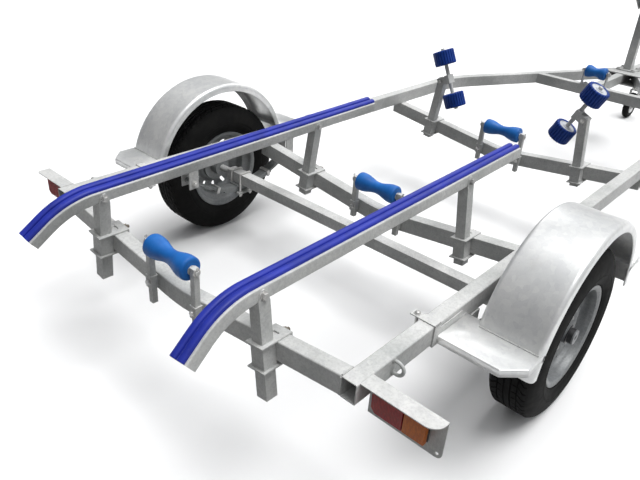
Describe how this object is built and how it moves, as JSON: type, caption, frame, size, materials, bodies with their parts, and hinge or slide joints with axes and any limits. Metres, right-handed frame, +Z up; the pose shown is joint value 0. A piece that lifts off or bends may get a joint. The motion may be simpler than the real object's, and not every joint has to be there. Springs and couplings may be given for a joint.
{
  "type": "boat trailer",
  "caption": "Single-axle galvanised boat trailer with padded skids, keel and wobble rollers, winch post, mudguards, tail lamps and a folding jockey wheel.",
  "frame": {"origin": "on the ground under the middle of the overall length, on the centreline", "axes": "+X is the direction of travel, towards the coupling; +Y is left; +Z is up"},
  "size_m": [5.25, 1.924, 1.2921],
  "materials": {
    "galvanised": "hot-dip galvanised, spangled",
    "bright_steel": "bright zinc plated",
    "dark_steel": "black painted",
    "spring_steel": "grey galvanised spring steel",
    "blue_plastic": "blue moulded polymer",
    "lamp_plastic": "gloss lens",
    "black_rubber": "matte",
    "tyre": "matte"
  },
  "bodies": {
    "frame": {"left_side_rail": "galvanised", "right_side_rail": "galvanised", "rear_cross_member": "galvanised", "middle_cross_member": "galvanised", "front_cross_member": "galvanised", "nose_cross_member": "galvanised", "drawbar": "galvanised", "nose_plates": "galvanised", "coupling": "galvanised", "coupling_lever": "dark_steel", "chain_lug": "galvanised", "winch_post": "galvanised", "winch_frame": "galvanised", "bow_stop_arms": "galvanised", "jockey_bracket": "galvanised", "left_skid": "galvanised", "right_skid": "galvanised", "left_skid_pad": "blue_plastic", "right_skid_pad": "blue_plastic", "skid_posts": "galvanised", "wobble_posts": "galvanised", "post_clamps": "galvanised", "keel_sockets": "galvanised", "keel_brackets": "galvanised", "nose_roller_bracket": "galvanised", "axle_beam": "galvanised", "leaf_springs": "spring_steel", "spring_hangers": "galvanised", "left_mudguard": "galvanised", "right_mudguard": "galvanised", "lamp_brackets": "galvanised", "tail_lamps": "lamp_plastic", "tie_loops": "galvanised"},
    "left_wheel_set": {"left_wheel": "galvanised", "left_tyre": "tyre"},
    "right_wheel_set": {"right_wheel": "galvanised", "right_tyre": "tyre"},
    "jockey_stand": {"jockey_tube": "galvanised", "jockey_crank": "dark_steel"},
    "jockey_slide": {"jockey_leg": "bright_steel"},
    "jockey_castor_fork": {"jockey_fork": "galvanised"},
    "jockey_wheel": {"jockey_wheel": "black_rubber"},
    "left_wobble": {"left_wobble_arm": "galvanised"},
    "right_wobble": {"right_wobble_arm": "galvanised"},
    "left_upper_roller": {"left_upper_roller": "blue_plastic"},
    "left_lower_roller": {"left_lower_roller": "blue_plastic"},
    "right_upper_roller": {"right_upper_roller": "blue_plastic"},
    "right_lower_roller": {"right_lower_roller": "blue_plastic"},
    "rear_keel_roller": {"rear_keel_roller": "blue_plastic"},
    "middle_keel_roller": {"middle_keel_roller": "blue_plastic"},
    "front_keel_roller": {"front_keel_roller": "blue_plastic"},
    "nose_roller": {"nose_roller": "blue_plastic"},
    "bow_roller": {"bow_roller": "blue_plastic"},
    "winch_drum": {"winch_drum": "bright_steel"},
    "winch_handle": {"winch_handle": "dark_steel"}
  },
  "joints": [
    {"name": "left_wheel_spin", "type": "hinge", "parent": "frame", "child": "left_wheel_set", "pos_m": [-1.487, 0.865, 0.304], "axis": [0, 1, 0], "continuous": true},
    {"name": "right_wheel_spin", "type": "hinge", "parent": "frame", "child": "right_wheel_set", "pos_m": [-1.487, -0.865, 0.304], "axis": [0, 1, 0], "continuous": true},
    {"name": "jockey_swing", "type": "hinge", "parent": "frame", "child": "jockey_stand", "pos_m": [2.215, 0.083, 0.4635], "axis": [0, 1, 0], "range_deg": [0, 90]},
    {"name": "jockey_extend", "type": "slide", "parent": "jockey_stand", "child": "jockey_slide", "axis": [0, 0, 1], "range_m": [-0.08, 0.18]},
    {"name": "jockey_castor", "type": "hinge", "parent": "jockey_slide", "child": "jockey_castor_fork", "pos_m": [2.215, 0.083, 0.2], "axis": [0, 0, 1], "continuous": true},
    {"name": "jockey_wheel_spin", "type": "hinge", "parent": "jockey_castor_fork", "child": "jockey_wheel", "pos_m": [2.179, 0.083, 0.1], "axis": [0, 1, 0], "continuous": true},
    {"name": "left_wobble_tilt", "type": "hinge", "parent": "frame", "child": "left_wobble", "pos_m": [-0.298, 0.394, 0.63], "axis": [1, 0, 0], "range_deg": [-40, 4]},
    {"name": "right_wobble_tilt", "type": "hinge", "parent": "frame", "child": "right_wobble", "pos_m": [-0.298, -0.394, 0.63], "axis": [1, 0, 0], "range_deg": [-4, 40]},
    {"name": "left_upper_roller_spin", "type": "hinge", "parent": "left_wobble", "child": "left_upper_roller", "pos_m": [-0.298, 0.40665, 0.75083], "axis": [0, 0.4415, 0.8973], "continuous": true},
    {"name": "left_lower_roller_spin", "type": "hinge", "parent": "left_wobble", "child": "left_lower_roller", "pos_m": [-0.298, 0.30598, 0.54626], "axis": [0, 0.4415, 0.8973], "continuous": true},
    {"name": "right_upper_roller_spin", "type": "hinge", "parent": "right_wobble", "child": "right_upper_roller", "pos_m": [-0.298, -0.40665, 0.75083], "axis": [0, -0.4415, 0.8973], "continuous": true},
    {"name": "right_lower_roller_spin", "type": "hinge", "parent": "right_wobble", "child": "right_lower_roller", "pos_m": [-0.298, -0.30598, 0.54626], "axis": [0, -0.4415, 0.8973], "continuous": true},
    {"name": "rear_keel_roller_spin", "type": "hinge", "parent": "frame", "child": "rear_keel_roller", "pos_m": [-2.359, 0, 0.535], "axis": [0, 1, 0], "continuous": true},
    {"name": "middle_keel_roller_spin", "type": "hinge", "parent": "frame", "child": "middle_keel_roller", "pos_m": [-1.347, 0, 0.452], "axis": [0, 1, 0], "continuous": true},
    {"name": "front_keel_roller_spin", "type": "hinge", "parent": "frame", "child": "front_keel_roller", "pos_m": [-0.289, 0, 0.46], "axis": [0, 1, 0], "continuous": true},
    {"name": "nose_roller_spin", "type": "hinge", "parent": "frame", "child": "nose_roller", "pos_m": [0.898, 0, 0.58], "axis": [0, 1, 0], "continuous": true},
    {"name": "bow_roller_spin", "type": "hinge", "parent": "frame", "child": "bow_roller", "pos_m": [1.385, 0, 1.02], "axis": [0, 1, 0], "continuous": true},
    {"name": "winch_handle_turn", "type": "hinge", "parent": "frame", "child": "winch_handle", "pos_m": [1.556, 0, 1.18], "axis": [0, 1, 0], "continuous": true},
    {"name": "winch_drum_turn", "type": "hinge", "parent": "frame", "child": "winch_drum", "pos_m": [1.51, 0, 1.155], "axis": [0, 1, 0], "continuous": true}
  ],
  "couplings": [
    {"joint": "winch_drum_turn", "follows": "winch_handle_turn", "ratio": -0.33333}
  ]
}
